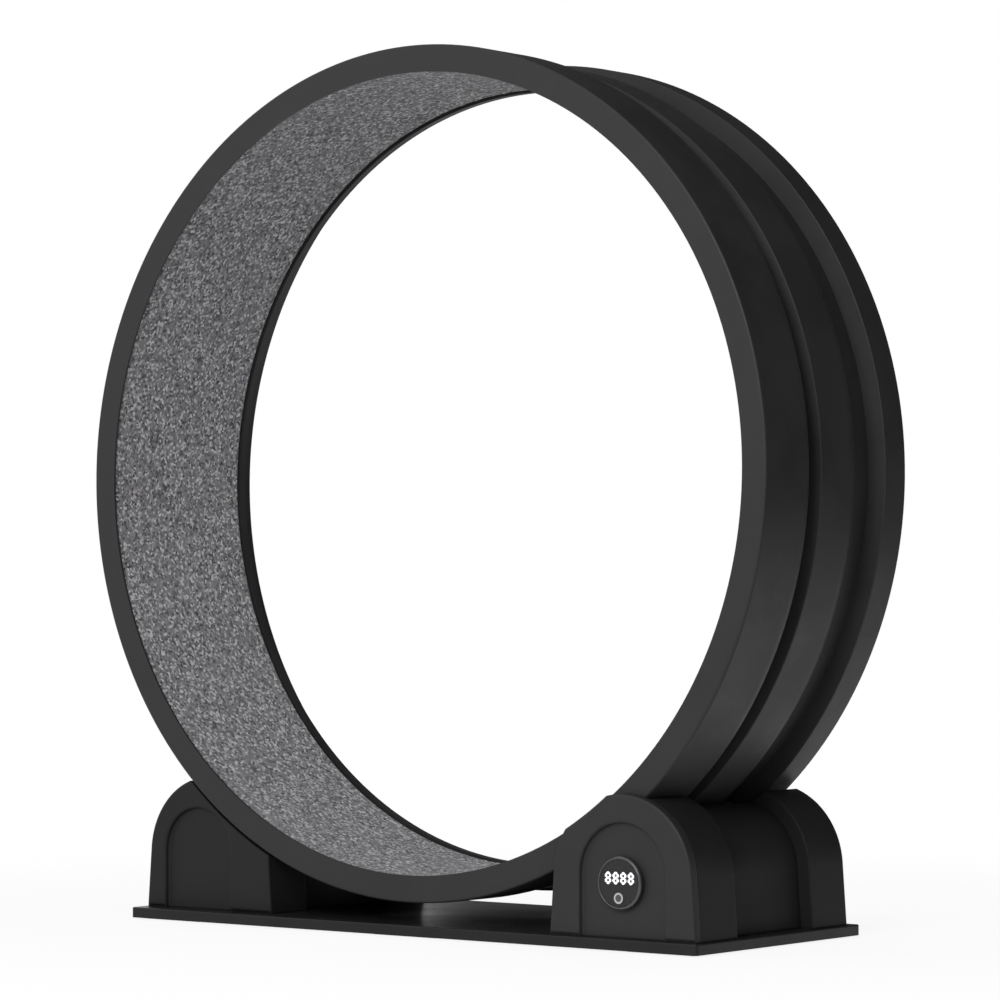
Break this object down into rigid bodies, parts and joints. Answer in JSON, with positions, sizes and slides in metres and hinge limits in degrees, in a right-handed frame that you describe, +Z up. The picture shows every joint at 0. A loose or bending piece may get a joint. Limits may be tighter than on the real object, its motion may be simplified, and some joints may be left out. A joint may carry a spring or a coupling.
{
  "type": "pet exercise wheel",
  "caption": "Cat exercise wheel: a ribbed black drum with a grey carpet track turns on rollers between arched pedestals on a base plate, with a round display and button.",
  "frame": {"origin": "middle of the footprint, on the floor under the pads", "axes": "+X to the right of someone facing the display, along the base plate's long side; +Y from the front to the rear, along the drum's axis; +Z up"},
  "size_m": [1, 0.333, 1.038],
  "materials": {
    "shell_black": "satin, fine moulded grain",
    "plate_black": "satin",
    "drum_black": "satin, fine moulded grain",
    "carpet_grey": "short speckled loop carpet",
    "pad_rubber": "matte",
    "tyre_rubber": "matte",
    "hub_nylon": "natural nylon",
    "bracket_nylon": "moulded, matte",
    "screw_steel": "zinc plated",
    "bush_brass": "plain",
    "bezel_black": "gloss",
    "window_dark": "smoked, clear enough for lit digits",
    "button_black": "satin with a pale ring mark",
    "board_green": "solder resist",
    "module_black": "plain"
  },
  "bodies": {
    "base": {"anti_slip_pads": "pad_rubber", "axle_bolts": "screw_steel", "axle_bushes": "bush_brass", "base_plate": "plate_black", "base_screws": "screw_steel", "button_switch": "module_black", "cell_holder": "module_black", "circuit_board": "board_green", "coin_cell": "screw_steel", "console_cover": "shell_black", "console_screws": "screw_steel", "counter_sensor": "module_black", "digit_module": "module_black", "display_bezel": "bezel_black", "display_window": "window_dark", "left_front_bracket": "bracket_nylon", "left_front_housing": "shell_black", "left_middle_cover": "shell_black", "left_rear_bracket": "bracket_nylon", "left_rear_housing": "shell_black", "right_front_bracket": "bracket_nylon", "right_front_housing": "shell_black", "right_middle_cover": "shell_black", "right_rear_bracket": "bracket_nylon", "right_rear_housing": "shell_black"},
    "wheel": {"drum_segment_1": "drum_black", "drum_segment_2": "drum_black", "drum_segment_3": "drum_black", "drum_segment_4": "drum_black", "drum_segment_5": "drum_black", "drum_segment_6": "drum_black", "drum_segment_7": "drum_black", "drum_segment_8": "drum_black", "seam_keys": "drum_black", "counter_magnet": "screw_steel", "running_mat": "carpet_grey"},
    "button": {"push_button": "button_black"},
    "left_front_roller": {"left_front_roller_hub": "hub_nylon", "left_front_roller_tyre": "tyre_rubber"},
    "left_rear_roller": {"left_rear_roller_hub": "hub_nylon", "left_rear_roller_tyre": "tyre_rubber"},
    "right_front_roller": {"right_front_roller_hub": "hub_nylon", "right_front_roller_tyre": "tyre_rubber"},
    "right_rear_roller": {"right_rear_roller_hub": "hub_nylon", "right_rear_roller_tyre": "tyre_rubber"}
  },
  "joints": [
    {"name": "wheel_spin", "type": "hinge", "parent": "base", "child": "wheel", "pos_m": [0, 0, 0.538], "axis": [0, 1, 0], "continuous": true},
    {"name": "left_front_roller_spin", "type": "hinge", "parent": "base", "child": "left_front_roller", "pos_m": [-0.29997, -0.038, 0.11963], "axis": [0, 1, 0], "continuous": true},
    {"name": "left_rear_roller_spin", "type": "hinge", "parent": "base", "child": "left_rear_roller", "pos_m": [-0.29997, 0.066, 0.11963], "axis": [0, 1, 0], "continuous": true},
    {"name": "right_front_roller_spin", "type": "hinge", "parent": "base", "child": "right_front_roller", "pos_m": [0.29997, -0.038, 0.11963], "axis": [0, 1, 0], "continuous": true},
    {"name": "right_rear_roller_spin", "type": "hinge", "parent": "base", "child": "right_rear_roller", "pos_m": [0.29997, 0.066, 0.11963], "axis": [0, 1, 0], "continuous": true},
    {"name": "button_press", "type": "slide", "parent": "base", "child": "button", "axis": [0, 1, 0], "range_m": [0, 0.0008], "stiffness_N_per_m": 1500}
  ],
  "couplings": [
    {"joint": "left_front_roller_spin", "follows": "wheel_spin", "ratio": -13.292},
    {"joint": "left_rear_roller_spin", "follows": "wheel_spin", "ratio": -13.292},
    {"joint": "right_front_roller_spin", "follows": "wheel_spin", "ratio": -13.292},
    {"joint": "right_rear_roller_spin", "follows": "wheel_spin", "ratio": -13.292}
  ]
}
